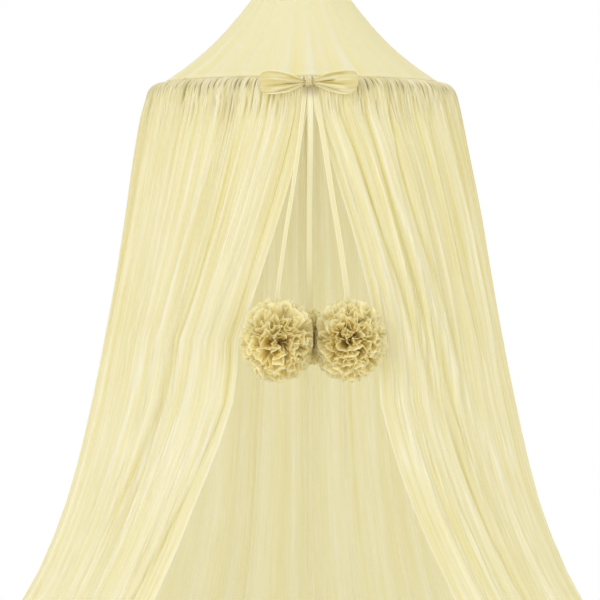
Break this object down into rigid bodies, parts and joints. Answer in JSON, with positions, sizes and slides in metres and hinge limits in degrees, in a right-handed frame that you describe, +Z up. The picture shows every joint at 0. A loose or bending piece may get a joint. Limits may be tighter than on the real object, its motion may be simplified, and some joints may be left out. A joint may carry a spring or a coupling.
{
  "type": "mosquito net canopy on its hoop",
  "caption": "Hanging mosquito net canopy: a pointed voile crown and a gathered skirt over a hoop, parted at the front, with a bow and ruffled pompoms on ribbons.",
  "frame": {"origin": "the top of the opening in the hanging loop, where a hook would hold it", "axes": "+Z up along the canopy's axis, -Y out of the parted front, +X to the right seen from the front"},
  "size_m": [1.4912, 1.1334, 1.7451],
  "materials": {
    "voile": "sheer plain-woven voile, pale butter yellow, matt",
    "bow_voile": "sheer voile in two layers, creased",
    "ribbon_voile": "narrow folded voile strap with stitched edges",
    "petal_voile": "crinkled voile petals, deeper yellow in the folds",
    "strap": "plain woven tape",
    "hoop_paint": "smooth off-white tube"
  },
  "bodies": {
    "root": {"hanging_loop": "strap", "crown": "voile", "hoop": "hoop_paint", "skirt": "voile", "bow_loops": "bow_voile", "bow_knot": "bow_voile", "ribbon_left": "ribbon_voile", "ribbon_middle": "ribbon_voile", "ribbon_right": "ribbon_voile", "pompom_left": "petal_voile", "pompom_right": "petal_voile", "pompom_back": "petal_voile"}
  },
  "joints": []
}
